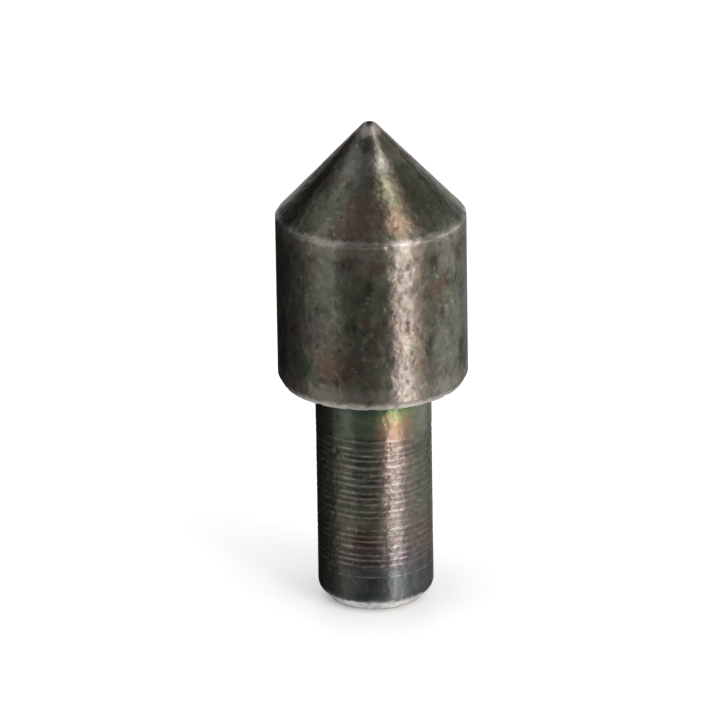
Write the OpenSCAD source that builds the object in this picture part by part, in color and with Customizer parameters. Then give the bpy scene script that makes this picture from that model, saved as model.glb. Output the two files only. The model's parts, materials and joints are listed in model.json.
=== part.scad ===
// Compact live center with a straight shank, in millimetres.
// A one-piece point and skirt turns on two sealed ball bearings and one ball thrust bearing,
// carried on the stepped nose of a fixed arbor. The lathe's tailstock holds the arbor's shank.
// +Z runs along the axis to the point. The origin is on the axis at the arbor's seat face.

/* [Point head] */
// Outside diameter of the head
head_d = 19.6; // [19.2:0.1:24]
// Length of the head's straight side, from its rear face to the foot of the cone
head_side = 18; // [18:0.5:24]
// Full angle of the point
point_angle = 86; // [75:1:90]
// Diameter of the small flat at the tip
tip_flat_d = 1.2; // [0.8:0.1:2]
// Radius that breaks the edge between the cone and the side
edge_r = 0.4; // [0.2:0.05:0.8]
// Radial size of the bevel round the head's rear edge
rear_bevel_radial = 0.5; // [0.2:0.05:0.7]
// Axial size of the same bevel
rear_bevel_axial = 0.9; // [0.4:0.1:1.5]

/* [Shank] */
// Diameter of the straight shank
shank_d = 12; // [10:0.1:12.7]
// Length of the shank below the seat face
shank_len = 23.7; // [15:0.1:40]
// Radial size of the bevel at the shank's end
end_bevel_radial = 1.3; // [0.5:0.1:1.5]
// Axial size of the same bevel
end_bevel_axial = 1.3; // [0.5:0.1:2]
// How far the fixed seat stands below the turning head
seat_proud = 0.3; // [0.2:0.05:0.5]

/* [Radial bearings] */
// Bore of each ball bearing
bearing_bore = 8; // [7:0.5:8]
// Outside diameter of each ball bearing
bearing_od = 16; // [15.5:0.1:16.4]
// Width of each ball bearing
bearing_w = 5; // [4.5:0.1:5.5]
// Ball diameter in the radial bearings
ball_d = 2.2; // [2:0.1:2.3]
// Number of balls in each radial bearing
ball_count = 10; // [8:1:11]
// Length of the spacers between the two bearings
spacer_len = 1.5; // [1:0.1:2]

/* [Thrust bearing] */
// Bore of the thrust bearing
thrust_bore = 6; // [5.5:0.1:6.2]
// Outside diameter of the thrust bearing
thrust_od = 12; // [11.5:0.1:12.5]
// Height of the thrust bearing
thrust_h = 4.5; // [4:0.1:5]
// Ball diameter in the thrust bearing
thrust_ball_d = 1.8; // [1.6:0.1:2]
// Number of balls in the thrust bearing
thrust_ball_count = 9; // [6:1:12]

/* [Fits] */
// Clearance between a ball and its groove
ball_play = 0.03; // [0.02:0.01:0.05]
// Radial gap between the fixed collar and the turning cap
collar_gap = 0.15; // [0.1:0.05:0.25]

/* [Hidden] */
$fn = 96;
BEARINGS = ["rear", "front"];
BEARING_PARTS = ["inner_race", "outer_race", "balls", "cage", "rear_shield", "front_shield"];

STEEL_DARK = [0.27, 0.26, 0.24];
STEEL_BRIGHT = [0.72, 0.72, 0.70];
SPRING_STEEL = [0.38, 0.40, 0.45];
BRASS = [0.78, 0.62, 0.30];
SEAL_RUBBER = [0.10, 0.10, 0.11];
FELT = [0.36, 0.33, 0.28];

// Radii
head_r = head_d / 2;
shank_r = shank_d / 2;
journal_r = bearing_bore / 2;
race_r = bearing_od / 2;
nose_r = thrust_bore / 2;
thrust_r = thrust_od / 2;
seat_width = 0.7;
collar_r = shank_r + seat_width;
abutment_wall = 0.9;
abutment_r = journal_r + abutment_wall;
cap_bore_r = collar_r + collar_gap;
cap_wall = 0.5;
cap_r = race_r + cap_wall;

// Rounding where the cone meets the flat at its tip
tip_r = 0.5;

// The retaining cap, the slots for its spanner, and the felt ring in its groove
cap_recess = 0.2;
cap_thick = 2.1;
cap_slots = 4;
cap_slot_w = 1.4;
cap_slot_depth = 0.6;
cap_slot_angle = 45;
felt_depth = 0.75;
felt_w = 0.8;
felt_inset = 0.15;
felt_gap = 0.04;
// How far a cutting solid runs past the surface that it opens
overrun = 0.5;

// Bearing section: ball circle, race walls, recesses for the shields
pitch_r = (journal_r + race_r) / 2;
groove_r = ball_d / 2 + ball_play;
land = 0.95;
race_bevel = 0.2;
inner_race_r = pitch_r - land;
outer_race_r = pitch_r + land;
shield_lip = 0.3;
shield_seat_r = outer_race_r + shield_lip;
shield_seat = 0.45;
shield_thick = 0.25;
shield_gap = 0.08;
cage_half_w = 0.55;
cage_gap = 0.3;
cage_back = bearing_w / 2 - shield_seat - cage_gap;
cage_front = 0.85;
scallop_r = 0.6;
pocket_play = 0.06;

// Thrust section
thrust_pitch_r = (nose_r + thrust_r) / 2;
thrust_groove_r = thrust_ball_d / 2 + ball_play;
thrust_groove_depth = 0.35;
washer_t = (thrust_h - 2 * (thrust_groove_r - thrust_groove_depth)) / 2;
thrust_cage_t = 0.8;
thrust_side_gap = 0.2;

// Heights along the axis
head_rear_z = seat_proud;
cap_rear_z = head_rear_z + cap_recess;
stack_z = cap_rear_z + cap_thick;
rear_bearing_z = stack_z;
spacer_z = rear_bearing_z + bearing_w;
front_bearing_z = spacer_z + spacer_len;
snap_z = front_bearing_z + bearing_w;
snap_thick = 0.8;
snap_groove_depth = 0.25;
snap_wall = 1.3;
snap_gap_angle = 40;
bore_step_z = snap_z + snap_thick;
thrust_rise = 0.8;
thrust_z = bore_step_z + thrust_rise;
thrust_top_z = thrust_z + thrust_h;
nose_short = 0.8;
nose_end_z = thrust_top_z - nose_short;
nose_bevel = 0.3;
cone_z = head_rear_z + head_side;
abutment_len = 0.5;
felt_z = cap_rear_z + cap_slot_depth + felt_inset;

// Rounding where the shank's side runs into the bevel at its end
bevel_blend_r = 1.2;

// Wave spring between the front outer race and the step in the head's bore
spring_waves = 3;
spring_steps = 96;
spring_wire = 0.25;
spring_play = 0.01;
spring_rim = 0.2;
spring_width = 1.1;
spring_outer_r = race_r - spring_rim;
spring_inner_r = spring_outer_r - spring_width;

// Relief above the thrust bearing, left by the drill that starts the bore
relief_gap = 0.3;
relief_r = nose_r + relief_gap;
relief_len = 0.7;
drill_half_angle = 59;

// Centre hole in the shank's end, for grinding the arbor between centres
centre_mouth_r = 1.5;
centre_pilot_r = 0.6;
centre_pilot_z = 3;
centre_half_angle = 30;

// Straight steps in each drawn arc
ARC_STEPS = 8;

// Points of an arc about centre c, from angle a to angle b
function arc(c, r, a, b) =
    [for (i = [0:ARC_STEPS]) c + r * [cos(a + (b - a) * i / ARC_STEPS), sin(a + (b - a) * i / ARC_STEPS)]];

// Centre of a circle of radius r that touches two lines meeting at p, where the lines' inward
// normals point along angles na and nb
function fillet_centre(p, r, na, nb) =
    p + r / cos((nb - na) / 2) * [cos((na + nb) / 2), sin((na + nb) / 2)];

// Tube or disc on the axis between two heights
module ring(inner, outer, low, high) {
    rotate_extrude()
        translate([inner, low])
            square([outer - inner, high - low]);
}

// Anything repeated evenly round the axis
module around(count, radius, phase = 0) {
    for (i = [0:count - 1])
        rotate([0, 0, phase + i * 360 / count])
            translate([radius, 0, 0])
                children();
}

/* Head: cone, straight side and rear bevel outside; thread seat, bearing bore and thrust seat inside */

cone_slope = tan(point_angle / 2);
cone_height = (head_r - tip_flat_d / 2) / cone_slope;
tip_z = cone_z + cone_height;

module head_outline() {
    half = point_angle / 2;
    edge_centre = fillet_centre([head_r, cone_z], edge_r, 180, 180 + half);
    tip_centre = fillet_centre([tip_flat_d / 2, tip_z], tip_r, 180 + half, 270);
    polygon(concat(
        [[0, head_rear_z],
         [head_r - rear_bevel_radial, head_rear_z],
         [head_r, head_rear_z + rear_bevel_axial]],
        arc(edge_centre, edge_r, 0, half),
        arc(tip_centre, tip_r, half, 90),
        [[0, tip_z]]
    ));
}

module head_cavity() {
    drill_len = relief_r / tan(drill_half_angle);
    polygon([
        [0, head_rear_z - overrun],
        [cap_r, head_rear_z - overrun],
        [cap_r, stack_z],
        [race_r, stack_z],
        [race_r, bore_step_z],
        [thrust_r, bore_step_z],
        [thrust_r, thrust_top_z],
        [relief_r, thrust_top_z],
        [relief_r, thrust_top_z + relief_len],
        [0, thrust_top_z + relief_len + drill_len]
    ]);
}

module point_head() {
    color(STEEL_DARK)
        rotate_extrude()
            difference() {
                head_outline();
                head_cavity();
            }
}

/* Retaining cap: screwed into the head's rear, it holds the outer races and the felt ring */

module retaining_cap() {
    slot_reach = 2 * (cap_r - cap_bore_r + overrun);
    color(STEEL_DARK)
        difference() {
            ring(cap_bore_r, cap_r, cap_rear_z, stack_z);
            ring(cap_bore_r - overrun, cap_bore_r + felt_depth, felt_z, felt_z + felt_w);
            translate([0, 0, cap_rear_z])
                around(cap_slots, cap_r, cap_slot_angle)
                    cube([slot_reach, cap_slot_w, 2 * cap_slot_depth], center = true);
        }
}

module felt_seal() {
    color(FELT)
        ring(collar_r + felt_gap, cap_bore_r + felt_depth, felt_z, felt_z + felt_w);
}

/* Arbor: shank, seat collar, bearing journal and thrust nose, turned from one bar */

module arbor_outline() {
    bevel_angle = atan(end_bevel_radial / end_bevel_axial);
    bevel_corner = [shank_r, end_bevel_axial - shank_len];
    blend_centre = fillet_centre(bevel_corner, bevel_blend_r, 180 - bevel_angle, 180);
    polygon(concat(
        [[0, -shank_len], [shank_r - end_bevel_radial, -shank_len]],
        arc(blend_centre, bevel_blend_r, -bevel_angle, 0),
        [[shank_r, 0], [collar_r, 0], [collar_r, stack_z - abutment_len],
         [abutment_r, stack_z - abutment_len], [abutment_r, stack_z],
         [journal_r, stack_z], [journal_r, snap_z],
         [journal_r - snap_groove_depth, snap_z],
         [journal_r - snap_groove_depth, snap_z + snap_thick],
         [journal_r, snap_z + snap_thick], [journal_r, thrust_z],
         [nose_r, thrust_z], [nose_r, nose_end_z - nose_bevel],
         [nose_r - nose_bevel, nose_end_z], [0, nose_end_z]]
    ));
}

module centre_hole() {
    cone_len = (centre_mouth_r - centre_pilot_r) / tan(centre_half_angle);
    translate([0, 0, -shank_len])
        rotate_extrude()
            polygon([[0, -overrun], [centre_mouth_r, -overrun], [centre_mouth_r, 0],
                     [centre_pilot_r, cone_len], [centre_pilot_r, centre_pilot_z], [0, centre_pilot_z]]);
}

module arbor() {
    color(STEEL_DARK)
        difference() {
            rotate_extrude()
                arbor_outline();
            centre_hole();
        }
}

module snap_ring() {
    inner = journal_r - snap_groove_depth;
    color(SPRING_STEEL)
        translate([0, 0, snap_z])
            rotate([0, 0, snap_gap_angle / 2])
                rotate_extrude(angle = 360 - snap_gap_angle)
                    translate([inner, 0])
                        square([snap_wall, snap_thick]);
}

module inner_spacer() {
    color(STEEL_BRIGHT)
        ring(journal_r, inner_race_r, spacer_z, front_bearing_z);
}

module outer_spacer() {
    color(STEEL_BRIGHT)
        ring(outer_race_r, race_r, spacer_z, front_bearing_z);
}

/* Wave spring: a flat ring whose height follows a sine, so that its crests touch both faces */

module wave_spring() {
    swing = (snap_thick - spring_wire) / 2 - spring_play;
    middle_z = snap_z + snap_thick / 2;
    section = [[spring_inner_r, -spring_wire / 2], [spring_outer_r, -spring_wire / 2],
               [spring_outer_r, spring_wire / 2], [spring_inner_r, spring_wire / 2]];
    points = [for (i = [0:spring_steps - 1]) let (a = i * 360 / spring_steps)
        for (s = section)
            [s[0] * cos(a), s[0] * sin(a), middle_z + swing * sin(spring_waves * a) + s[1]]];
    faces = [for (i = [0:spring_steps - 1]) let (j = (i + 1) % spring_steps)
        for (k = [0:3]) let (m = (k + 1) % 4)
            [4 * i + k, 4 * j + k, 4 * j + m, 4 * i + m]];
    color(SPRING_STEEL)
        polyhedron(points = points, faces = faces, convexity = 6);
}

/* One sealed ball bearing, drawn from its rear face at low */

// A race's section from its land to its seated side, whose two corners are bevelled. The height is
// centred on zero.
module race_section(land_r, seat_r) {
    inset = seat_r > land_r ? -race_bevel : race_bevel;
    half = bearing_w / 2;
    polygon([
        [land_r, -half],
        [seat_r + inset, -half],
        [seat_r, -half + race_bevel],
        [seat_r, half - race_bevel],
        [seat_r + inset, half],
        [land_r, half]
    ]);
}

module ball_groove_section() {
    translate([pitch_r, 0])
        circle(r = groove_r);
}

module bearing_inner_race(low) {
    color(STEEL_BRIGHT)
        translate([0, 0, low + bearing_w / 2])
            rotate_extrude()
                difference() {
                    race_section(inner_race_r, journal_r);
                    ball_groove_section();
                }
}

module bearing_outer_race(low) {
    seat_z = bearing_w / 2 - shield_seat;
    color(STEEL_BRIGHT)
        translate([0, 0, low + bearing_w / 2])
            rotate_extrude()
                difference() {
                    race_section(outer_race_r, race_r);
                    ball_groove_section();
                    for (side = [0, 1])
                        mirror([0, side])
                            translate([outer_race_r - overrun, seat_z])
                                square([shield_seat_r - outer_race_r + overrun, shield_seat + overrun]);
                }
}

module bearing_balls(low) {
    color(STEEL_BRIGHT)
        translate([0, 0, low + bearing_w / 2])
            around(ball_count, pitch_r)
                sphere(r = ball_d / 2);
}

module bearing_cage(low) {
    centre = low + bearing_w / 2;
    color(BRASS)
        difference() {
            ring(pitch_r - cage_half_w, pitch_r + cage_half_w, centre - cage_back, centre + cage_front);
            translate([0, 0, centre])
                around(ball_count, pitch_r)
                    sphere(r = ball_d / 2 + pocket_play);
            // Scallops between the pockets leave a pair of horns round each ball
            translate([0, 0, centre + cage_front])
                around(ball_count, pitch_r, 180 / ball_count)
                    rotate([0, 90, 0])
                        cylinder(r = scallop_r, h = 4 * cage_half_w, center = true);
        }
}

module bearing_shield(low) {
    color(SEAL_RUBBER)
        ring(inner_race_r + shield_gap, shield_seat_r, low, low + shield_thick);
}

module bearing_part(part, low) {
    seat = shield_seat - shield_thick;
    if (part == "inner_race") bearing_inner_race(low);
    if (part == "outer_race") bearing_outer_race(low);
    if (part == "balls") bearing_balls(low);
    if (part == "cage") bearing_cage(low);
    if (part == "rear_shield") bearing_shield(low + seat);
    if (part == "front_shield") bearing_shield(low + bearing_w - shield_seat);
}

/* Thrust bearing: a washer on the arbor's nose, a washer pressed into the head, balls in a flat cage */

thrust_centre_z = thrust_z + thrust_h / 2;

module thrust_washer(inner, outer, low) {
    color(STEEL_BRIGHT)
        rotate_extrude()
            difference() {
                translate([inner, low])
                    square([outer - inner, washer_t]);
                translate([thrust_pitch_r, thrust_centre_z])
                    circle(r = thrust_groove_r);
            }
}

module thrust_shaft_washer() {
    thrust_washer(nose_r, thrust_r - thrust_side_gap, thrust_z);
}

module thrust_housing_washer() {
    thrust_washer(nose_r + thrust_side_gap, thrust_r, thrust_top_z - washer_t);
}

module thrust_balls() {
    color(STEEL_BRIGHT)
        translate([0, 0, thrust_centre_z])
            around(thrust_ball_count, thrust_pitch_r)
                sphere(r = thrust_ball_d / 2);
}

module thrust_cage() {
    color(BRASS)
        difference() {
            ring(nose_r + thrust_side_gap, thrust_r - thrust_side_gap,
                 thrust_centre_z - thrust_cage_t / 2, thrust_centre_z + thrust_cage_t / 2);
            translate([0, 0, thrust_centre_z])
                around(thrust_ball_count, thrust_pitch_r)
                    cylinder(r = thrust_ball_d / 2 + pocket_play, h = 2 * thrust_cage_t, center = true);
        }
}

point_head();
retaining_cap();
felt_seal();
arbor();
snap_ring();
inner_spacer();
outer_spacer();
wave_spring();
thrust_shaft_washer();
thrust_housing_washer();
thrust_balls();
thrust_cage();
for (b = BEARINGS)
    for (p = BEARING_PARTS)
        bearing_part(p, b == "rear" ? rear_bearing_z : front_bearing_z);
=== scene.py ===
"""Looks of the compact live center.

The head (cone and side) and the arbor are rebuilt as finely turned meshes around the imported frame. The
retaining cap and the pieces inside keep their CAD meshes. Every piece gets a procedural material.
All lengths are in metres, in the frame's own coordinates: +Z runs up the axis to the point.
"""
import json
import math

import bpy
import numpy as np
from mathutils import Matrix, Vector, noise


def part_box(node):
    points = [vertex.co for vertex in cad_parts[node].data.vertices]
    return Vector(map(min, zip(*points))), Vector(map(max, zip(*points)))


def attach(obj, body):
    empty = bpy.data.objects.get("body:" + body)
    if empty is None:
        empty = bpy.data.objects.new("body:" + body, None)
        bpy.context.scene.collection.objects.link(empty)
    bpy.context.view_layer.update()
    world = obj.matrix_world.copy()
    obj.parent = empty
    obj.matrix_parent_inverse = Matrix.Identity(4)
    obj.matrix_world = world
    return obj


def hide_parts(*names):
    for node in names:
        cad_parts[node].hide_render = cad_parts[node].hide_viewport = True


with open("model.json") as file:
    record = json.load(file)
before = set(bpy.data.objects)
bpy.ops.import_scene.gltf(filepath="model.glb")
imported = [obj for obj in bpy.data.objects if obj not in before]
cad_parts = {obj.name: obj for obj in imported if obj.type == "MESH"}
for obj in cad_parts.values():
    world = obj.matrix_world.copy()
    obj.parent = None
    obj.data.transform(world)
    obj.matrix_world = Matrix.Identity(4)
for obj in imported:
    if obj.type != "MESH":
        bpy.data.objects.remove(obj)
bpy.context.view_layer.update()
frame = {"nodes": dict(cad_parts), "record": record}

MM = 0.001

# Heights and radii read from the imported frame
HEAD_LOW, HEAD_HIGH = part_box("point_head")
ARBOR_LOW, ARBOR_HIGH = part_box("arbor")
SNAP_LOW, SNAP_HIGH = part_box("snap_ring")
_, CAP_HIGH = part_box("retaining_cap")
_, RACE_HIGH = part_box("front_bearing_outer_race")
_, WASHER_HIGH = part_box("thrust_housing_washer")
SHAFT_WASHER_LOW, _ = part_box("thrust_shaft_washer")
SHANK_R = next(m for m in frame["record"]["mounts"] if m["name"] == "shank")["dims"]["r_mm"] * MM

HEAD_R = HEAD_HIGH.x
HEAD_REAR = HEAD_LOW.z
TIP_Z = HEAD_HIGH.z
CAP_R = CAP_HIGH.x
STACK_Z = CAP_HIGH.z
RACE_R = RACE_HIGH.x
BORE_STEP_Z = SNAP_HIGH.z
THRUST_R = WASHER_HIGH.x
THRUST_TOP = WASHER_HIGH.z
THRUST_LOW = SHAFT_WASHER_LOW.z
COLLAR_R = ARBOR_HIGH.x
SHANK_END = ARBOR_LOW.z

# Turned details of the head
POINT_HALF = math.radians(43)
TIP_FLAT_R = 0.6 * MM
TIP_ROUND = 0.5 * MM
CRATER_R = 0.3 * MM
CRATER_DEPTH = 0.12 * MM
EDGE_ROUND = 0.4 * MM
BEVEL_RADIAL = 0.5 * MM
BEVEL_AXIAL = 0.9 * MM
BEVEL_TOP_ROUND = 0.3 * MM
BEVEL_LOW_ROUND = 0.12 * MM
CAP_LIP = 0.12 * MM
RELIEF_R = 3.3 * MM
RELIEF_LEN = 0.7 * MM
DRILL_HALF = math.radians(59)
CONE_Z = TIP_Z - (HEAD_R - TIP_FLAT_R) / math.tan(POINT_HALF)

# Turned details of the arbor
JOURNAL_R = 4.0 * MM
NOSE_R = 3.0 * MM
ABUTMENT_R = 4.9 * MM
ABUTMENT_LEN = 0.5 * MM
SNAP_GROOVE_R = 3.75 * MM
NOSE_BEVEL = 0.3 * MM
END_BEVEL = 1.3 * MM
END_BLEND = 1.2 * MM
END_RIM_ROUND = 0.15 * MM
COLLAR_TOP_BREAK = 0.1 * MM
COLLAR_FOOT_BREAK = 0.08 * MM
CENTRE_MOUTH_R = 1.5 * MM
CENTRE_PILOT_R = 0.6 * MM
CENTRE_DEPTH = 3.0 * MM
CENTRE_HALF = math.radians(30)

# Feed marks that the lathe tool left round the shank
MARK_PITCH = 0.687 * MM
MARK_TOP = HEAD_REAR - 4.3 * MM
MARK_COUNT = 22
MARK_BOTTOM = MARK_TOP - MARK_COUNT * MARK_PITCH
MARK_DEPTH = 0.035 * MM
CHATTER_DEPTH = 0.10 * MM
# How far the grooves wander from even spacing, in pitches, and how fast, in radians for each pitch
MARK_SWING = 0.13
MARK_RHYTHM = 1.9
# Groove near which the marks are worn smoother, and how many grooves that reaches
SMOOTH_AT = 14.2
SMOOTH_REACH = 1.1
SMOOTH_LEFT = 0.4

# Fineness of the meshes: facets round the axis, and the longest step along a profile
HEAD_SEGMENTS = 288
ARBOR_SEGMENTS = 256
TIP_STEP = 0.05 * MM
HEAD_STEP = 0.16 * MM
MARK_STEP = MARK_PITCH / 10
SHARP_ANGLE = math.radians(28)

SHANK_SPAN = HEAD_REAR - SHANK_END
END_R = SHANK_R - END_BEVEL


# ---------------------------------------------------------------- turned meshes

def line_to(profile, r, z, step, wear=0.0):
    """Extends a profile of (radius, height, wear) points straight to (r, z), in equal steps."""
    r0, z0, _ = profile[-1]
    count = max(1, math.ceil(math.hypot(r - r0, z - z0) / step))
    for i in range(1, count + 1):
        t = i / count
        profile.append((r0 + (r - r0) * t, z0 + (z - z0) * t, wear))


def arc_to(profile, centre, radius, start, end, count, wear=0.0):
    """Extends a profile along an arc between two angles, in degrees."""
    for i in range(count + 1):
        a = math.radians(start + (end - start) * i / count)
        profile.append((centre[0] + radius * math.cos(a), centre[1] + radius * math.sin(a), wear))


def fillet_centre(corner, radius, normal_a, normal_b):
    """Centre of the arc that touches two lines meeting at corner, given their inward normals in degrees."""
    half = math.radians((normal_b - normal_a) / 2)
    mean = math.radians((normal_a + normal_b) / 2)
    reach = radius / math.cos(half)
    return corner[0] + reach * math.cos(mean), corner[1] + reach * math.sin(mean)


def clean(profile):
    """Drops points that repeat the one before."""
    kept = [profile[0]]
    for p in profile[1:]:
        if math.hypot(p[0] - kept[-1][0], p[1] - kept[-1][1]) > 1e-8:
            kept.append(p)
    return kept


def inward(profile):
    """Unit vectors in the (radius, height) plane that point into the metal, one per profile point."""
    pts = np.array([(p[0], p[1]) for p in profile])
    ahead = np.roll(pts, -1, 0)
    behind = np.roll(pts, 1, 0)
    ahead[-1], behind[0] = pts[-1], pts[0]
    run = ahead - behind
    run /= np.linalg.norm(run, axis=1)[:, None]
    return np.stack([run[:, 1], -run[:, 0]], 1)


def lathe(name, profile, segments, cut):
    """Turns a profile that starts and ends on the axis into a closed mesh. cut(angle, r, z, wear) is how
    far a point with wear sinks into the metal."""
    profile = clean(profile)
    normals = inward(profile)
    angles = [2 * math.pi * k / segments for k in range(segments)]
    verts = [(0.0, 0.0, profile[0][1])]
    for (r, z, wear), (nr, nz) in zip(profile[1:-1], normals[1:-1]):
        for a in angles:
            depth = cut(a, r, z, wear) if wear > 0 else 0.0
            radius = r + nr * depth
            verts.append((radius * math.cos(a), radius * math.sin(a), z + nz * depth))
    verts.append((0.0, 0.0, profile[-1][1]))
    last = len(verts) - 1
    rings = len(profile) - 2
    faces = [(0, 1 + k, 1 + (k + 1) % segments) for k in range(segments)]
    for i in range(rings - 1):
        a, b = 1 + i * segments, 1 + (i + 1) * segments
        for k in range(segments):
            m = (k + 1) % segments
            faces.append((a + k, b + k, b + m, a + m))
    a = 1 + (rings - 1) * segments
    faces += [(a + k, last, a + (k + 1) % segments) for k in range(segments)]
    return mesh_object(name, verts, faces)


def mesh_object(name, verts, faces):
    mesh = bpy.data.meshes.new(name)
    mesh.from_pydata(verts, [], faces)
    mesh.update()
    mesh.shade_smooth()
    mesh.set_sharp_from_angle(angle=SHARP_ANGLE)
    obj = bpy.data.objects.new(name, mesh)
    bpy.context.scene.collection.objects.link(obj)
    return obj


def lumps(x, y, z, size, seed):
    """Smooth noise of about -1 to 1 with features of the given size in metres."""
    k = 1 / size
    return noise.noise(Vector((x * k + seed, y * k - seed, z * k + 3.7 * seed)))


def smooth(low, high, value):
    """0 up to low, 1 from high, and an even curve between them."""
    t = min(max((value - low) / (high - low), 0.0), 1.0)
    return t * t * (3 - 2 * t)


# ---------------------------------------------------------------- head

def head_profile():
    """Outline of the head, from the tip's crater down the outside and back up the bore to the axis."""
    half = math.degrees(POINT_HALF)
    tip = fillet_centre((TIP_FLAT_R, TIP_Z), TIP_ROUND, 180 + half, 270)
    edge = fillet_centre((HEAD_R, CONE_Z), EDGE_ROUND, 180, 180 + half)
    bevel_angle = math.degrees(math.atan2(BEVEL_RADIAL, BEVEL_AXIAL))
    bevel_top = fillet_centre((HEAD_R, HEAD_REAR + BEVEL_AXIAL), BEVEL_TOP_ROUND, 180 - bevel_angle, 180)
    bevel_low = fillet_centre((HEAD_R - BEVEL_RADIAL, HEAD_REAR), BEVEL_LOW_ROUND, 90, 180 - bevel_angle)
    profile = [(0.0, TIP_Z - CRATER_DEPTH, 1.0)]
    line_to(profile, 0.6 * CRATER_R, TIP_Z - 0.9 * CRATER_DEPTH, TIP_STEP, 1.0)
    line_to(profile, CRATER_R, TIP_Z, TIP_STEP, 1.0)
    line_to(profile, tip[0], TIP_Z, TIP_STEP, 1.0)
    arc_to(profile, tip, TIP_ROUND, 90, half, 7, 1.0)
    foot_r = edge[0] + EDGE_ROUND * math.cos(POINT_HALF)
    foot_z = edge[1] + EDGE_ROUND * math.sin(POINT_HALF)
    line_to(profile, foot_r, foot_z, HEAD_STEP, 1.0)
    arc_to(profile, edge, EDGE_ROUND, half, 0, 7, 1.0)
    line_to(profile, HEAD_R, bevel_top[1], HEAD_STEP, 1.0)
    arc_to(profile, bevel_top, BEVEL_TOP_ROUND, 0, -bevel_angle, 4, 1.0)
    arc_to(profile, bevel_low, BEVEL_LOW_ROUND, -bevel_angle, -90, 4, 1.0)
    line_to(profile, CAP_R + CAP_LIP, HEAD_REAR, 0.2 * MM)
    line_to(profile, CAP_R, HEAD_REAR + CAP_LIP, HEAD_STEP)
    for r, z in (
        (CAP_R, STACK_Z), (RACE_R, STACK_Z), (RACE_R, BORE_STEP_Z), (THRUST_R, BORE_STEP_Z),
        (THRUST_R, THRUST_TOP), (RELIEF_R, THRUST_TOP), (RELIEF_R, THRUST_TOP + RELIEF_LEN),
        (0.0, THRUST_TOP + RELIEF_LEN + RELIEF_R / math.tan(DRILL_HALF)),
    ):
        line_to(profile, r, z, 1.2 * MM)
    return profile


def head_wear(angle, r, z, wear):
    """Depth of the head's surface below its true size: slow waves, small pits, and nicks on its edges."""
    x, y = r * math.cos(angle), r * math.sin(angle)
    waves = 0.003 * MM * (1 + lumps(x, y, z, 1.6 * MM, 1.3))
    pits = 0.011 * MM * smooth(0.0, 0.75, lumps(x, y, z, 0.7 * MM, 5.1))
    small = 0.004 * MM * smooth(0.0, 0.7, lumps(x, y, z, 0.42 * MM, 9.4))
    near_foot = math.exp(-((z - CONE_Z) / (0.35 * MM)) ** 2)
    near_edge = near_foot + math.exp(-((z - HEAD_REAR) / (0.5 * MM)) ** 2)
    nicks = 0.07 * MM * near_edge * smooth(0.12, 0.55, lumps(x, y, z, 0.9 * MM, 14.2))
    calm = smooth(0.0, 1.5 * MM, r)
    return wear * (waves + (pits + small) * calm + nicks)


# ---------------------------------------------------------------- arbor

def arbor_profile():
    """Outline of the arbor, from its nose down over the bearing seats and the shank to the centre hole."""
    plain = 1.0 * MM
    blend = fillet_centre((SHANK_R, SHANK_END + END_BEVEL), END_BLEND, 135, 180)
    rim = fillet_centre((END_R, SHANK_END), END_RIM_ROUND, 90, 135)
    centre_cone = (CENTRE_MOUTH_R - CENTRE_PILOT_R) / math.tan(CENTRE_HALF)
    collar_top = STACK_Z - ABUTMENT_LEN
    profile = [(0.0, ARBOR_HIGH.z, 0.0)]
    for r, z in (
        (NOSE_R - NOSE_BEVEL, ARBOR_HIGH.z), (NOSE_R, ARBOR_HIGH.z - NOSE_BEVEL), (NOSE_R, THRUST_LOW),
        (JOURNAL_R, THRUST_LOW), (JOURNAL_R, SNAP_HIGH.z), (SNAP_GROOVE_R, SNAP_HIGH.z),
        (SNAP_GROOVE_R, SNAP_LOW.z), (JOURNAL_R, SNAP_LOW.z), (JOURNAL_R, STACK_Z),
        (ABUTMENT_R, STACK_Z), (ABUTMENT_R, collar_top), (COLLAR_R - COLLAR_TOP_BREAK, collar_top),
        (COLLAR_R, collar_top - COLLAR_TOP_BREAK), (COLLAR_R, COLLAR_FOOT_BREAK),
        (COLLAR_R - COLLAR_FOOT_BREAK, 0.0), (SHANK_R, 0.0),
    ):
        line_to(profile, r, z, plain)
    line_to(profile, SHANK_R, MARK_TOP, 0.25 * MM, 1.0)
    line_to(profile, SHANK_R, MARK_BOTTOM, MARK_STEP, 1.0)
    line_to(profile, SHANK_R, blend[1], 0.2 * MM, 1.0)
    arc_to(profile, blend, END_BLEND, 0, -45, 8, 1.0)
    arc_to(profile, rim, END_RIM_ROUND, -45, -90, 4, 1.0)
    for r, z in (
        (CENTRE_MOUTH_R, SHANK_END), (CENTRE_PILOT_R, SHANK_END + centre_cone),
        (CENTRE_PILOT_R, SHANK_END + CENTRE_DEPTH), (0.0, SHANK_END + CENTRE_DEPTH),
    ):
        line_to(profile, r, z, plain)
    return profile


def feed_marks(x, y, z):
    """Depth of the scalloped grooves with sharp crests between them, which are worn away in places."""
    if not MARK_BOTTOM <= z <= MARK_TOP:
        return 0.0
    t = (MARK_TOP - z) / MARK_PITCH
    fade = smooth(0, 1.2, t) * smooth(0, 1.5, MARK_COUNT - t)
    off_smooth = smooth(0.3 * SMOOTH_REACH, SMOOTH_REACH, abs(t - SMOOTH_AT))
    fade *= SMOOTH_LEFT + (1 - SMOOTH_LEFT) * off_smooth
    t += MARK_SWING * math.sin(MARK_RHYTHM * t)
    across = 2 * (t - math.floor(t)) - 1
    strength = 0.75 + 0.5 * lumps(x, y, math.floor(t) * 2.3 * MM, 2.6 * MM, 21.0)
    return MARK_DEPTH * strength * fade * (1 - across * across)


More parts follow.
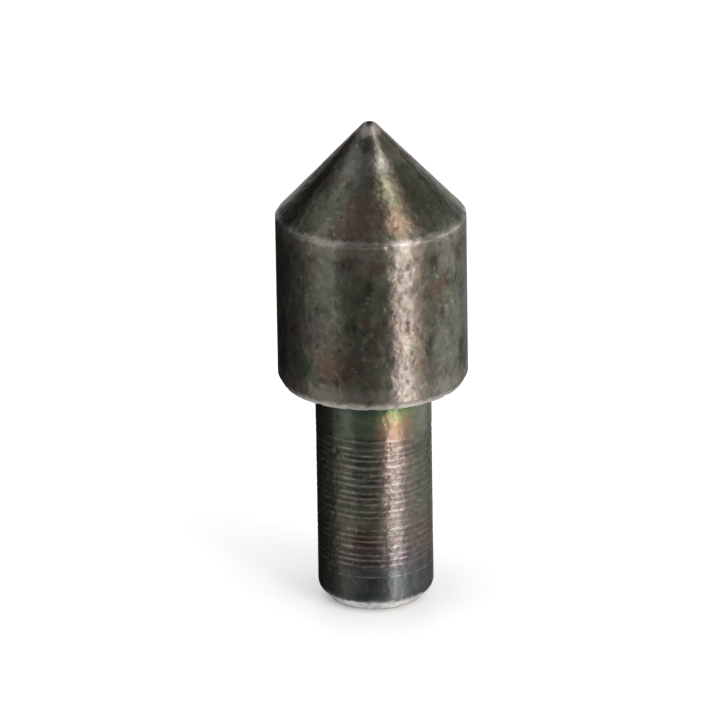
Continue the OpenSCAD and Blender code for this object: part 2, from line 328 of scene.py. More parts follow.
def arbor_wear(angle, r, z, wear):
    """Depth of the shank's surface below its true size: feed marks, slow waves and small pits."""
    x, y = r * math.cos(angle), r * math.sin(angle)
    waves = 0.003 * MM * (1 + lumps(x, y, z, 1.8 * MM, 2.3))
    pits = 0.010 * MM * smooth(0.15, 0.55, lumps(x, y, z, 0.5 * MM, 6.6))
    return wear * (feed_marks(x, y, z) + waves + pits)


# ---------------------------------------------------------------- node helper

class Graph:
    """A short way to write a material's nodes. Every method returns the socket it made."""

    def __init__(self, tree):
        self.tree = tree
        self.tree.nodes.clear()

    def node(self, kind, **inputs):
        n = self.tree.nodes.new(kind)
        for key, value in inputs.items():
            self.put(n.inputs[key], value)
        return n

    def put(self, socket, value):
        if isinstance(value, bpy.types.NodeSocket):
            self.tree.links.new(value, socket)
        elif value is not None:
            socket.default_value = value

    def position(self):
        return self.node("ShaderNodeTexCoord").outputs["Object"]

    def math(self, op, a, b=None):
        n = self.node("ShaderNodeMath")
        n.operation = op
        self.put(n.inputs[0], a)
        self.put(n.inputs[1], b)
        return n.outputs[0]

    def vector(self, op, a, b=None):
        n = self.node("ShaderNodeVectorMath")
        n.operation = op
        self.put(n.inputs[0], a)
        self.put(n.inputs[1], b)
        return n.outputs["Value" if op in ("LENGTH", "DISTANCE") else "Vector"]

    def axes(self, vector):
        return self.node("ShaderNodeSeparateXYZ", Vector=vector).outputs

    def from_axis(self, position):
        """Distance from the object's axis."""
        return self.vector("LENGTH", self.vector("MULTIPLY", position, (1.0, 1.0, 0.0)))

    def noise(self, vector, size, detail=2.0, rough=0.5, stretch=(1, 1, 1), shift=0.0):
        """Noise of 0 to 1 with features of the given size in metres, divided by stretch along each axis."""
        scaled = self.vector("MULTIPLY", vector, tuple(s / size for s in stretch))
        moved = self.vector("ADD", scaled, (shift, 1.7 * shift, -shift))
        made = self.node("ShaderNodeTexNoise", Vector=moved, Scale=1.0, Detail=detail, Roughness=rough)
        return made.outputs[0]

    def ragged(self, value, edge_noise, swing):
        """A distance moved by up to half of swing either way, so that what it ends has a ragged edge."""
        return self.math("ADD", value, self.math("MULTIPLY", self.math("SUBTRACT", edge_noise, 0.5), swing))

    def remap(self, value, low, high, to_low=0.0, to_high=1.0):
        """Carries low to to_low and high to to_high on an even curve, and holds them beyond."""
        n = self.node("ShaderNodeMapRange", Value=value)
        n.interpolation_type = "SMOOTHSTEP"
        for key, v in (("From Min", low), ("From Max", high), ("To Min", to_low), ("To Max", to_high)):
            self.put(n.inputs[key], v)
        return n.outputs[0]

    def mix(self, factor, a, b):
        """Colour a where factor is 0 and b where it is 1."""
        n = self.node("ShaderNodeMix")
        n.data_type = "RGBA"
        self.put(n.inputs[0], factor)
        for socket, value in ((n.inputs[6], a), (n.inputs[7], b)):
            self.put(socket, (*value, 1.0) if isinstance(value, tuple) else value)
        return n.outputs[2]

    def ramp(self, value, stops):
        """A colour for each value, blended between stops of (value, colour)."""
        n = self.node("ShaderNodeValToRGB", Fac=value)
        bar = n.color_ramp.elements
        while len(bar) < len(stops):
            bar.new(0.5)
        for e, (at, colour) in zip(bar, stops):
            e.position = at
            e.color = (*colour, 1.0)
        return n.outputs[0]

    def patch(self, position, centre, size, edge_noise):
        """1 at a spot on the surface, falling to 0 at a ragged edge about size metres away."""
        away = self.vector("DISTANCE", position, centre)
        return self.remap(self.ragged(away, edge_noise, size * 1.6), size * 0.2, size * 1.25, 1.0, 0.0)

    def bump(self, height, distance, normal=None):
        n = self.node("ShaderNodeBump", Height=height, Distance=distance, Strength=1.0)
        if normal is not None:
            self.put(n.inputs["Normal"], normal)
        return n.outputs[0]


def material(name, metallic=1.0, anisotropic=0.0, turned=False, roughness=None):
    """A new material: its graph, its Principled shader, and its tangent round the axis if it is turned."""
    m = bpy.data.materials.new(name)
    m.use_nodes = True
    g = Graph(m.node_tree)
    out = g.node("ShaderNodeOutputMaterial")
    shader = g.node("ShaderNodeBsdfPrincipled")
    shader.inputs["Metallic"].default_value = metallic
    shader.inputs["Anisotropic"].default_value = anisotropic
    if roughness is not None:
        shader.inputs["Roughness"].default_value = roughness
    if turned:
        tangent = g.node("ShaderNodeTangent")
        tangent.direction_type = "RADIAL"
        tangent.axis = "Z"
        g.put(shader.inputs["Tangent"], tangent.outputs[0])
        shader.inputs["Anisotropic Rotation"].default_value = 0.25
    g.put(out.inputs["Surface"], shader.outputs[0])
    return m, g, shader


def on_side(angle_deg, z, r):
    """A point on a turned surface: its angle from the front, positive to the right, height and radius."""
    a = math.radians(angle_deg)
    return (r * math.sin(a), -r * math.cos(a), z)


# ---------------------------------------------------------------- steel of the head and arbor

OLIVE = (0.20, 0.21, 0.153)
PALE = (0.335, 0.328, 0.27)
DARK = (0.10, 0.10, 0.08)
BROWN = (0.24, 0.155, 0.12)
GREEN = (0.14, 0.185, 0.12)
PLUM = (0.21, 0.155, 0.165)
WORN = (0.52, 0.475, 0.43)
BRIGHT = (0.66, 0.62, 0.58)
SOOT = (0.05, 0.05, 0.045)
YELLOW = (0.45, 0.43, 0.29)
ORANGE = (0.37, 0.27, 0.19)
# Colour of the painted highlight strip on the head, also rubbed wear
WORN_HIGHLIGHT = (0.475, 0.40, 0.372)
# Colour of the painted warm fringe along the highlight's edge
HIGHLIGHT_FRINGE = (0.33, 0.23, 0.19)
SAGE = (0.33, 0.345, 0.27)
PIT = (0.09, 0.075, 0.07)
BARE_BEVEL = (0.72, 0.70, 0.66)
BARE_TIP = (0.74, 0.68, 0.665)
BARE_END = (0.88, 0.88, 0.89)
END_GREY = (0.34, 0.335, 0.31)

# Angle from the front at which heat has tinted the steel most, and down which a highlight strip is painted
# where the key light's highlight falls
TINT_AND_HIGHLIGHT_SIDE = 19
# How far below the tip its bare steel starts to fade, and where it ends
TIP_WORN_HIGH = 0.6 * MM
TIP_WORN_LOW = 1.3 * MM


def mottle(g, p):
    """The mottled oil-blackened colour that the head and arbor share."""
    squat = (1.0, 1.0, 0.75)
    tone = g.noise(p, 1.7 * MM, 3.0, 0.55, squat)
    colour = g.mix(g.remap(tone, 0.48, 0.68), OLIVE, PALE)
    colour = g.mix(g.remap(tone, 0.50, 0.32), colour, DARK)
    smear = g.noise(p, 1.3 * MM, 2.0, 0.5, (1.0, 1.0, 0.22), 3.0)
    colour = g.mix(g.remap(smear, 0.52, 0.66, 0.0, 0.45), colour, PALE)
    brown = g.remap(g.noise(p, 1.8 * MM, 2.0, 0.5, squat, 7.0), 0.50, 0.68, 0.0, 0.6)
    colour = g.mix(brown, colour, BROWN)
    green = g.remap(g.noise(p, 1.6 * MM, 2.0, 0.5, squat, 13.0), 0.52, 0.70, 0.0, 0.6)
    colour = g.mix(green, colour, GREEN)
    plum = g.remap(g.noise(p, 1.2 * MM, 2.0, 0.5, squat, 23.0), 0.54, 0.70, 0.0, 0.6)
    return g.mix(plum, colour, PLUM)


def round_band(g, p, edge, radius, centre, half, fade):
    """1 along a strip that runs up a round piece at an angle from the front, with a ragged edge. half and
    fade are lengths round the surface."""
    x, y = g.axes(p)[0:2]
    angle = g.math("ARCTAN2", x, g.math("MULTIPLY", y, -1.0))
    away = g.math("MULTIPLY", g.math("ABSOLUTE", g.math("SUBTRACT", angle, math.radians(centre))), radius)
    return g.remap(g.ragged(away, edge, fade * 1.8), half, half + fade, 1.0, 0.0)


def cone_spot(angle, down):
    """A point on the cone, at an angle from the front and a distance below the tip."""
    return on_side(angle, TIP_Z - down, down * math.tan(POINT_HALF) + TIP_FLAT_R)


def side_spot(angle, up):
    """A point on the head's side, at an angle from the front and a height above its rear face."""
    return on_side(angle, HEAD_REAR + up, HEAD_R)


def worn_band(g, z, edge, centre, half, fade):
    """1 within half of a height, falling to 0 over fade, with a ragged edge."""
    away = g.math("ABSOLUTE", g.math("SUBTRACT", z, centre))
    return g.remap(g.ragged(away, edge, fade * 1.8), half, half + fade, 1.0, 0.0)


def head_patches(g, p, edge, colour):
    """Stains of heat and oil at their places on the head, with a painted highlight and a patch of painted
    shade on the cone.
    """
    for centre, size, tint, amount in (
        (cone_spot(-6, 7.6 * MM), 3.4 * MM, (0.31, 0.225, 0.18), 0.9),
        (cone_spot(-42, 7.6 * MM), 2.6 * MM, (0.24, 0.27, 0.19), 0.85),
        # painted shade: a darker olive patch on the cone's right side
        (cone_spot(52, 6.5 * MM), 3.6 * MM, (0.12, 0.125, 0.075), 0.85),
        (cone_spot(-75, 5.5 * MM), 3.4 * MM, DARK, 0.7),
        (cone_spot(-14, 3.8 * MM), 2.6 * MM, (0.32, 0.325, 0.30), 0.8),
        (cone_spot(6, 4.6 * MM), 1.2 * MM, (0.16, 0.155, 0.085), 0.7),
        (cone_spot(TINT_AND_HIGHLIGHT_SIDE, 5.4 * MM), 1.7 * MM, YELLOW, 0.75),
        (cone_spot(TINT_AND_HIGHLIGHT_SIDE + 1, 8.2 * MM), 2.0 * MM, ORANGE, 0.9),
        # painted highlight: a pale grey patch near the top of the cone, where the highlight runs
        (cone_spot(TINT_AND_HIGHLIGHT_SIDE - 1, 3.2 * MM), 1.5 * MM, (0.54, 0.54, 0.50), 0.7),
        (side_spot(-3, 8.0 * MM), 2.2 * MM, DARK, 0.5),
        (side_spot(-4, 13.5 * MM), 1.8 * MM, DARK, 0.4),
        (side_spot(-26, 4.6 * MM), 2.8 * MM, BROWN, 0.75),
        (side_spot(-40, 8.5 * MM), 2.4 * MM, PLUM, 0.5),
        (side_spot(-47, 4.6 * MM), 2.0 * MM, GREEN, 0.6),
        (side_spot(-28, 14.0 * MM), 2.4 * MM, PALE, 0.6),
        (side_spot(-66, 13.0 * MM), 3.0 * MM, (0.13, 0.17, 0.15), 0.7),
        (side_spot(42, 12.5 * MM), 1.4 * MM, BROWN, 0.8),
        (side_spot(-35, 11.5 * MM), 2.2 * MM, GREEN, 0.5),
        (side_spot(-12, 11.2 * MM), 1.8 * MM, GREEN, 0.45),
        (side_spot(50, 5.5 * MM), 2.6 * MM, (0.29, 0.31, 0.24), 0.7),
        (side_spot(70, 9.0 * MM), 3.4 * MM, (0.30, 0.30, 0.27), 0.7),
    ):
        colour = g.mix(g.math("MULTIPLY", g.patch(p, centre, size, edge), amount), colour, tint)
    return colour


def head_edges(g, p, z, edge, colour):
    """Wear that has brightened the foot of the cone, the rear bevel and the tip, and soot on the tip."""
    chipped = g.remap(g.noise(p, 0.6 * MM, 2.0, 0.6, shift=37.0), 0.36, 0.58, 0.65, 1.0)
    foot = g.math("MULTIPLY", worn_band(g, z, edge, CONE_Z + 0.02 * MM, 0.14 * MM, 0.34 * MM), chipped)
    below = worn_band(g, z, edge, CONE_Z - 0.6 * MM, 0.2 * MM, 1.2 * MM)
    above_bevel = worn_band(g, z, edge, HEAD_REAR + 1.3 * MM, 0.3 * MM, 1.3 * MM)
    bevel = worn_band(g, z, edge, HEAD_REAR + 0.1 * MM, 0.22 * MM, 0.5 * MM)
    tip = g.remap(g.ragged(z, edge, 1.5 * MM), TIP_Z - TIP_WORN_LOW, TIP_Z - TIP_WORN_HIGH)
    in_crater = g.remap(g.from_axis(p), 1.25 * CRATER_R, 0.9 * CRATER_R)
    above_bore = g.remap(z, TIP_Z - 2.0 * CRATER_DEPTH, TIP_Z - 1.5 * CRATER_DEPTH)
    crater = g.math("MULTIPLY", in_crater, above_bore)
    burnt = g.patch(p, on_side(0, TIP_Z - 0.05 * MM, 0.42 * MM), 0.48 * MM, 0.5)
    for amount, band, tint in (
        (0.32, below, WORN), (0.42, above_bevel, WORN), (0.79, foot, BRIGHT),
        (0.85, bevel, BARE_BEVEL), (0.85, tip, BARE_TIP), (1.0, crater, SOOT), (0.85, burnt, SOOT),
    ):
        colour = g.mix(g.math("MULTIPLY", band, amount), colour, tint)
    return colour


def turned_bump(g, p, pits, shift, grain_depth, base=None):
    """Shallow dents, fine lines round the axis, pits and a grain, on top of a base normal."""
    dents = g.noise(p, 1.5 * MM, 2.0, 0.5, shift=shift + 91.0)
    lines = g.noise(p, 0.2 * MM, 2.0, 0.6, (0.05, 0.05, 1.0), shift)
    grain = g.noise(p, 0.22 * MM, 3.0, 0.6, shift=shift + 58.0)
    normal = g.bump(lines, 0.008 * MM, normal=g.bump(dents, 0.10 * MM, normal=base))
    normal = g.bump(pits, 0.055 * MM, normal=normal)
    return g.bump(grain, grain_depth, normal=normal)


def head_material():
    """Mottled, stained and pitted steel with a painted highlight strip down one side, partly rubbed wear,
    and worn on its edges.
    """
    m, g, shader = material("head_steel", anisotropic=0.9, turned=True)
    p = g.position()
    z = g.axes(p)[2]
    edge = g.noise(p, 0.9 * MM, 3.0, 0.6, shift=31.0)
    flecks = g.noise(p, 0.6 * MM, 2.0, 0.55, shift=41.0)
    pits = g.noise(p, 0.85 * MM, 1.5, 0.5, (1.0, 1.0, 0.8), 53.0)
    pitted = g.remap(pits, 0.38, 0.27)
    colour = head_patches(g, p, edge, mottle(g, p))
    below_cone = g.remap(z, CONE_Z + 0.4 * MM, CONE_Z - 0.4 * MM)
    # painted highlight: a brighter, pinker strip where the key light's highlight falls, partly rubbed wear
    worn_and_highlight_strip = g.math("MULTIPLY", round_band(g, p, edge, HEAD_R, TINT_AND_HIGHLIGHT_SIDE, 0.9 * MM, 1.1 * MM), below_cone)
    colour = g.mix(g.math("MULTIPLY", worn_and_highlight_strip, g.remap(pits, 0.38, 0.56, 0.25, 0.75)), colour, WORN_HIGHLIGHT)
    # painted highlight: a warm russet fringe along the right edge of the highlight strip
    highlight_fringe = round_band(g, p, edge, HEAD_R, TINT_AND_HIGHLIGHT_SIDE + 11, 0.3 * MM, 0.7 * MM)
    colour = g.mix(g.math("MULTIPLY", highlight_fringe, 0.35), colour, HIGHLIGHT_FRINGE)
    colour = g.mix(g.remap(flecks, 0.54, 0.78, 0.0, 0.5), colour, WORN)
    colour = g.mix(g.math("MULTIPLY", pitted, 0.4), colour, PIT)
    colour = head_edges(g, p, z, edge, colour)
    relief = g.math("MULTIPLY", pits, g.remap(z, CONE_Z - 0.4 * MM, CONE_Z + 0.4 * MM, 0.6, 1.0))
    g.put(shader.inputs["Base Color"], colour)
    rough = g.math("ADD", g.remap(flecks, 0.3, 0.75, 0.50, 0.38), g.math("MULTIPLY", pitted, 0.15))
    rough = g.math("ADD", rough, g.remap(z, TIP_Z - TIP_WORN_LOW, TIP_Z - TIP_WORN_HIGH, 0.0, 0.45))
    g.put(shader.inputs["Roughness"], rough)
    g.put(shader.inputs["Normal"], turned_bump(g, p, relief, 3.0, 0.004 * MM))
    return m


def heat_colours(g, p, down, edge):
    """Temper colours next to the head, fading into plain steel. Down one side they are warmer and brighter:
    temper colours near the head, and a painted highlight strip down the rest of the shank.
    """
    depth = g.math("DIVIDE", g.ragged(down, edge, 2.2 * MM), SHANK_SPAN)
    span = SHANK_SPAN / MM
    cool = g.ramp(depth, [(at / span, tint) for at, tint in (
        (1.2, (0.105, 0.17, 0.175)), (2.6, (0.21, 0.285, 0.18)), (4.6, (0.195, 0.23, 0.18)),
        (8.0, (0.24, 0.25, 0.205)), (13.0, (0.25, 0.245, 0.20)), (15.4, (0.30, 0.205, 0.17)),
        (17.6, (0.26, 0.18, 0.17)), (19.0, (0.15, 0.125, 0.16)), (20.2, (0.045, 0.075, 0.10)),
        (22.4, (0.045, 0.07, 0.095)),
    )])
    warm_tint_and_highlight = g.ramp(depth, [(at / span, tint) for at, tint in (
        (1.4, (0.22, 0.32, 0.15)), (2.1, (0.46, 0.49, 0.26)), (2.9, (0.54, 0.41, 0.24)),
        (4.2, (0.52, 0.34, 0.26)), (6.0, (0.52, 0.39, 0.355)), (11.0, (0.48, 0.405, 0.375)),
        (15.8, (0.42, 0.36, 0.34)), (18.2, (0.34, 0.28, 0.37)), (20.2, (0.145, 0.185, 0.225)),
        (22.4, (0.15, 0.185, 0.22)),
    )])
    # painted highlight: the warm strip runs where the shank's highlight falls and is brighter than the
    # temper colours alone
    side = round_band(g, p, edge, SHANK_R, TINT_AND_HIGHLIGHT_SIDE + 4, 1.4 * MM, 1.4 * MM)
    return g.mix(side, cool, warm_tint_and_highlight)


def shank_colour(g, p, down, edge, painted_left_shade):
    """Heat colours over the mottle, greyer on the right, with a long strip of painted shade down the left.
    """
    heat = heat_colours(g, p, down, edge)
    colour = g.mix(g.remap(down, 3.5 * MM, 7.0 * MM, 0.12, 0.42), heat, mottle(g, p))
    greyer = round_band(g, p, edge, SHANK_R, 62, 1.0 * MM, 2.0 * MM)
    near_head = g.remap(down, 6.0 * MM, 3.0 * MM, 0.0, 0.7)
    lower = g.remap(down, 4.0 * MM, 7.0 * MM, 0.0, 0.3)
    colour = g.mix(g.math("MULTIPLY", greyer, near_head), colour, SAGE)
    colour = g.mix(g.math("MULTIPLY", greyer, lower), colour, DARK)
    # painted shade: the left side of the shank darkened
    return g.mix(g.math("MULTIPLY", painted_left_shade, 0.74), colour, DARK)


def mark_zone(g, turn):
    """1 where the feed marks are, less where they are worn smoother, and 0 beyond them."""
    last = g.remap(turn, MARK_COUNT - 1.0, MARK_COUNT, 1.0, 0.0)
    ends = g.math("MULTIPLY", g.remap(turn, 0.0, 1.0), last)
    off_smooth = g.math("ABSOLUTE", g.math("SUBTRACT", turn, SMOOTH_AT))
    return g.math("MULTIPLY", ends, g.remap(off_smooth, 0.3 * SMOOTH_REACH, SMOOTH_REACH, SMOOTH_LEFT, 1.0))


def mark_colour(g, p, turn, zone, edge, broken, painted_left_shade, colour):
    """Soot in the grooves of the feed marks and bright, broken crests between them. The grooves are painted
    less dark under the highlight, and the marks are painted fainter down the right side, in place of the
    light that washes them out there, and under the painted shade on the left.
    """
    swing = g.math("MULTIPLY", g.math("SINE", g.math("MULTIPLY", turn, MARK_RHYTHM)), MARK_SWING)
    phase = g.math("FRACT", g.math("ADD", turn, swing))
    across = g.math("ABSOLUTE", g.math("SUBTRACT", g.math("MULTIPLY", phase, 2.0), 1.0))
    crest = g.math("MULTIPLY", g.remap(across, 0.60, 0.95), zone)
    crest = g.math("MULTIPLY", crest, g.remap(broken, 0.38, 0.60, 0.0, 1.0))
    valley = g.math("MULTIPLY", g.remap(across, 0.75, 0.30), zone)
    # marks painted fainter down the right side, in place of the light that washes them out there
    right_fade = round_band(g, p, edge, SHANK_R, 60, 1.9 * MM, 1.6 * MM)
    # painted highlight: the grooves are painted less dark where the highlight falls
    worn_and_highlight_strip = round_band(g, p, broken, SHANK_R, TINT_AND_HIGHLIGHT_SIDE - 2, 0.5 * MM, 1.3 * MM)
    marked = g.math("SUBTRACT", 1.0, g.math("MULTIPLY", g.math("MAXIMUM", right_fade, painted_left_shade), 0.8))
    crest = g.math("MULTIPLY", crest, marked)
    valley = g.math("MULTIPLY", g.math("MULTIPLY", valley, marked), g.remap(worn_and_highlight_strip, 0.0, 1.0, 1.0, 0.25))
    colour = g.mix(g.math("MULTIPLY", valley, g.remap(broken, 0.6, 0.35, 0.30, 0.75)), colour, SOOT)
    return g.mix(crest, colour, WORN)


def end_colour(g, p, z, edge, flecks, colour):
    """Bare bevel, a rim darkened as painted shadow where the end meets the floor, and grey face of the
    shank's end.
    """
    outer = g.remap(g.from_axis(p), END_R - 0.15 * MM, END_R)
    bevel = g.math("MULTIPLY", worn_band(g, z, edge, SHANK_END + 0.55 * MM, 0.38 * MM, 0.55 * MM), outer)
    colour = g.mix(g.math("MULTIPLY", bevel, g.remap(flecks, 0.3, 0.6, 0.6, 1.0)), colour, BARE_END)
    # painted shadow: the outer rim at the very foot is darkened where the shank stands on the floor
    foot_shadow = g.remap(z, SHANK_END + 0.10 * MM, SHANK_END + 0.02 * MM, 0.0, 0.85)
    colour = g.mix(g.math("MULTIPLY", outer, foot_shadow), colour, SOOT)
    near_end = g.remap(z, SHANK_END + 4 * MM, SHANK_END + 3 * MM)
    end_face = g.math("MULTIPLY", g.math("SUBTRACT", 1.0, outer), near_end)
    return g.mix(g.math("MULTIPLY", end_face, 0.7), colour, END_GREY)


def arbor_material():
    """Turned steel with heat colours next to the head, feed marks round the shank and a bright end, with a
    painted highlight strip down one side and painted shade down the left.
    """
    m, g, shader = material("arbor_steel", anisotropic=0.87, turned=True)
    p = g.position()
    z = g.axes(p)[2]
    edge = g.noise(p, 0.9 * MM, 3.0, 0.6, shift=71.0)
    flecks = g.noise(p, 0.55 * MM, 2.0, 0.6, shift=43.0)
    pits = g.noise(p, 0.6 * MM, 2.0, 0.55, shift=57.0)
    broken = g.noise(p, 1.0 * MM, 2.0, 0.6, (0.6, 0.6, 1.9), 83.0)
    # painted shade: a long darker strip down the left side of the shank
    painted_left_shade = round_band(g, p, edge, SHANK_R, -70, 2.2 * MM, 2.6 * MM)
    turn = g.math("DIVIDE", g.math("SUBTRACT", MARK_TOP, z), MARK_PITCH)
    zone = mark_zone(g, turn)

    colour = shank_colour(g, p, g.math("SUBTRACT", HEAD_REAR, z), edge, painted_left_shade)
    colour = mark_colour(g, p, turn, zone, edge, broken, painted_left_shade, colour)
    fleck = g.math("MULTIPLY", g.remap(flecks, 0.58, 0.74, 0.0, 0.4), g.remap(zone, 0.0, 1.0, 0.25, 1.0))
    colour = g.mix(fleck, colour, WORN)
    colour = end_colour(g, p, z, edge, flecks, colour)
    step = worn_band(g, z, edge, MARK_BOTTOM - 0.5 * MM, 0.03 * MM, 0.08 * MM)
    colour = g.mix(g.math("MULTIPLY", step, g.remap(broken, 0.4, 0.6, 0.0, 0.6)), colour, WORN)

    g.put(shader.inputs["Base Color"], colour)
    g.put(shader.inputs["Roughness"], g.remap(flecks, 0.3, 0.75, 0.48, 0.38))
    chatter = g.math("MULTIPLY", g.noise(p, 0.55 * MM, 1.0, 0.5, (0.42, 0.42, 1.0), 101.0), zone)
    relief = g.math("MULTIPLY", pits, g.remap(zone, 0.0, 1.0, 0.4, 1.0))
    base = g.bump(chatter, CHATTER_DEPTH)
    g.put(shader.inputs["Normal"], turned_bump(g, p, relief, 5.0, 0.007 * MM, base))
    return m


# ---------------------------------------------------------------- materials of the CAD pieces

def turned_metal(name, low, high, roughness):
    """Clean machined metal: a colour that wanders between two tones, and fine lines round the axis."""
    m, g, shader = material(name, anisotropic=0.4, turned=True)
    p = g.position()
    cloud = g.noise(p, 1.2 * MM, 4.0, 0.6)
    g.put(shader.inputs["Base Color"], g.mix(cloud, low, high))
    lines = g.noise(p, 0.12 * MM, 2.0, 0.6, stretch=(0.08, 0.08, 1.0))
    g.put(shader.inputs["Roughness"], g.remap(lines, 0.3, 0.7, roughness - 0.06, roughness + 0.08))
    g.put(shader.inputs["Normal"], g.bump(lines, 0.004 * MM))
    return m


def rubber():
    """Black rubber with a little dust."""
    m, g, shader = material("seal_rubber", metallic=0.0)
    p = g.position()
    dust = g.noise(p, 0.6 * MM, 4.0, 0.7)
    g.put(shader.inputs["Base Color"], g.mix(dust, (0.018, 0.018, 0.02), (0.05, 0.048, 0.046)))
    g.put(shader.inputs["Roughness"], g.remap(dust, 0.2, 0.8, 0.55, 0.8))
    g.put(shader.inputs["Normal"], g.bump(g.noise(p, 0.1 * MM, 3.0, 0.6), 0.01 * MM))
    return m


def felt():
    """Wool felt, dark and smoother where oil has soaked in."""
    m, g, shader = material("felt", metallic=0.0)
    shader.inputs["Sheen Weight"].default_value = 0.4
    p = g.position()
    fibre = g.noise(p, 0.12 * MM, 5.0, 0.75, stretch=(1, 1, 2.2))
    oil = g.noise(p, 1.5 * MM, 3.0, 0.5, shift=9.0)
    dry = g.mix(fibre, (0.20, 0.17, 0.13), (0.42, 0.37, 0.29))
    g.put(shader.inputs["Base Color"], g.mix(g.remap(oil, 0.4, 0.7, 0.0, 0.6), dry, (0.09, 0.075, 0.05)))
    g.put(shader.inputs["Roughness"], g.remap(oil, 0.4, 0.7, 0.95, 0.6))
    g.put(shader.inputs["Normal"], g.bump(fibre, 0.05 * MM))
    return m


def dress_cad_nodes():
    """Gives the retaining cap and each piece inside the material of its record slot."""
    made = {
        "bearing_steel": turned_metal("bearing_steel", (0.56, 0.56, 0.55), (0.70, 0.70, 0.69), 0.22),
        "spring_steel": turned_metal("spring_steel", (0.16, 0.19, 0.30), (0.34, 0.30, 0.36), 0.34),
        "cage_brass": turned_metal("cage_brass", (0.62, 0.42, 0.16), (0.80, 0.60, 0.28), 0.34),
        "cap_steel": turned_metal("cap_steel", (0.12, 0.12, 0.105), (0.22, 0.20, 0.17), 0.42),
        "seal_rubber": rubber(),
        "felt": felt(),
    }
    for part in frame["record"]["subparts"]:
        if part["material_slot"] in made:
            data = frame["nodes"][part["node"]].data
            data.materials.clear()
            data.materials.append(made[part["material_slot"]])


# ---------------------------------------------------------------- pieces

def build_head():
    piece = lathe("head_shell", head_profile(), HEAD_SEGMENTS, head_wear)
    piece.data.materials.append(head_material())
    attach(piece, "head")
    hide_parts("point_head")


def build_arbor():
    piece = lathe("arbor_turned", arbor_profile(), ARBOR_SEGMENTS, arbor_wear)
    piece.data.materials.append(arbor_material())
    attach(piece, "arbor")
    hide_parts("arbor")


# ---------------------------------------------------------------- stage, light and camera

FLOOR_SIZE = 6.0
CAMERA_ELEVATION = math.radians(21.57)
CAMERA_DISTANCE = 0.805
CAMERA_LENS = 394.0
CAMERA_ROLL = math.radians(-0.89)
# The middle of the view, right and up from the axis at the head's rear face
AIM_RIGHT = -1.62 * MM
AIM_UP = 2.40 * MM


def build_floor():
    """White paper under the shank's end. Metal doesn't mirror it."""
    half = FLOOR_SIZE / 2
    corners = [(x * half, y * half, SHANK_END) for x, y in ((-1, -1), (1, -1), (1, 1), (-1, 1))]
    floor = mesh_object("floor", corners, [(0, 1, 2, 3)])
    m, g, shader = material("floor_paper", metallic=0.0, roughness=0.9)
    shader.inputs["Specular IOR Level"].default_value = 0.1
    paper = g.noise(g.position(), 0.05, 3.0, 0.5)
    g.put(shader.inputs["Base Color"], g.mix(paper, (0.94, 0.94, 0.935), (0.95, 0.95, 0.945)))
    floor.data.materials.append(m)
    floor.visible_glossy = False


def build_world():
    """White sky for the floor and for matt surfaces. What metal mirrors is a dim room over a pale floor."""
    world = bpy.data.worlds.new("studio")
    world.use_nodes = True
    bpy.context.scene.world = world
    g = Graph(world.node_tree)
    out = g.node("ShaderNodeOutputWorld")
    way = g.axes(g.node("ShaderNodeTexCoord").outputs["Generated"])
    below = g.remap(way[2], -0.45, -0.8, 0.0, 0.75)
    above = g.remap(way[2], 0.85, 1.0, 0.0, 0.4)
    side = g.remap(way[0], -0.6, 1.0, 0.015, 0.12)
    sky = g.node("ShaderNodeBackground", Color=(1, 1, 1, 1), Strength=0.94)
    strength = g.math("ADD", side, g.math("ADD", below, above))
    room = g.node("ShaderNodeBackground", Color=(1.0, 0.98, 0.95, 1), Strength=strength)
    pick = g.node("ShaderNodeMixShader", Fac=g.node("ShaderNodeLightPath").outputs["Is Glossy Ray"])
    g.put(pick.inputs[1], sky.outputs[0])
    g.put(pick.inputs[2], room.outputs[0])
    g.put(out.inputs["Surface"], pick.outputs[0])


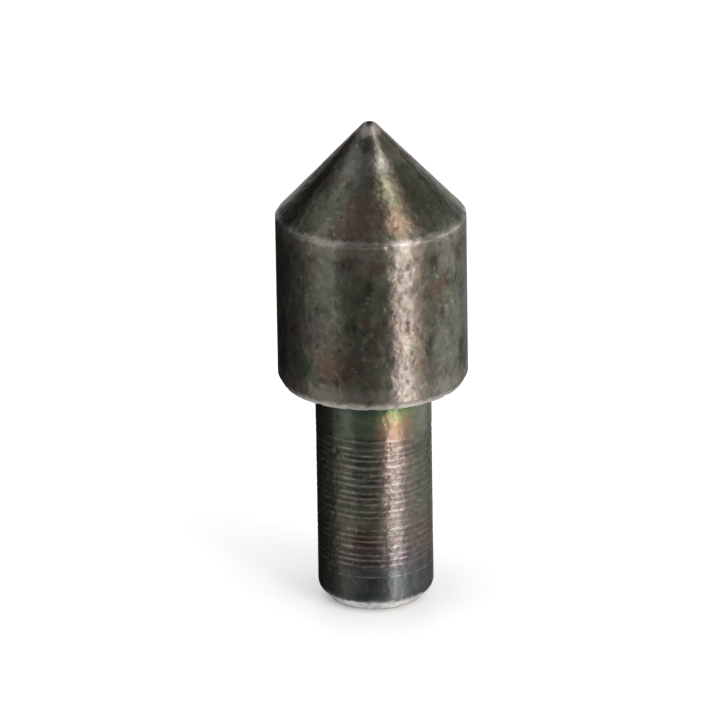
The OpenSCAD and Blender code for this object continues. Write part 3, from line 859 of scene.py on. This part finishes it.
def area_light(name, azimuth, elevation, distance, width, height, radiance, colour=(1, 1, 1)):
    """A panel that faces the object. Azimuth 0 is the camera's side and 90 is the right."""
    data = bpy.data.lights.new(name, "AREA")
    data.shape = "RECTANGLE"
    data.size = width
    data.size_y = height
    data.energy = radiance * math.pi * width * height
    data.color = colour
    obj = bpy.data.objects.new(name, data)
    a, e = math.radians(azimuth), math.radians(elevation)
    away = Vector((math.sin(a) * math.cos(e), -math.cos(a) * math.cos(e), math.sin(e)))
    obj.location = away * distance
    obj.rotation_euler = away.to_track_quat("Z", "Y").to_euler()
    bpy.context.scene.collection.objects.link(obj)


def build_lights():
    area_light("key_strip", 39, 12, 0.6, 0.18, 0.5, 6.0, (1.0, 0.935, 0.90))
    area_light("key_edge", 58, 12, 0.6, 0.12, 0.5, 2.2, (1.0, 0.95, 0.90))
    area_light("cone_strip", 54, 57, 0.6, 0.13, 0.22, 2.55, (1.0, 0.96, 0.90))
    area_light("top_card", -84, 50, 0.6, 0.90, 0.30, 0.54)
    area_light("left_card", -60, 5, 0.6, 0.40, 0.5, 0.66, (1.0, 1.0, 0.97))
    area_light("right_card", 100, 0, 0.6, 0.60, 0.4, 1.15)
    area_light("back_strip", 180, 5, 0.7, 0.22, 0.5, 4.6, (0.95, 0.97, 1.0))
    area_light("back_card", 148, -8, 0.7, 0.3, 0.4, 0.45)


def build_camera():
    """A long lens in front of and a little above the object, rolled slightly."""
    data = bpy.data.cameras.new("camera")
    data.lens = CAMERA_LENS
    data.sensor_width = 36
    obj = bpy.data.objects.new("camera", data)
    back = Vector((0, -math.cos(CAMERA_ELEVATION), math.sin(CAMERA_ELEVATION)))
    up = Vector((0, math.sin(CAMERA_ELEVATION), math.cos(CAMERA_ELEVATION)))
    pivot = Vector((0, 0, HEAD_REAR))
    aim = pivot + Vector((AIM_RIGHT, 0, 0)) + up * AIM_UP
    obj.location = pivot + back * CAMERA_DISTANCE
    facing = (aim - obj.location).to_track_quat("-Z", "Y").to_matrix()
    obj.rotation_euler = (facing @ Matrix.Rotation(CAMERA_ROLL, 3, "Z")).to_euler()
    bpy.context.scene.collection.objects.link(obj)
    bpy.context.scene.camera = obj


bpy.context.scene.view_settings.view_transform = "Standard"
build_head()
build_arbor()
dress_cad_nodes()
build_floor()
build_world()
build_lights()
build_camera()
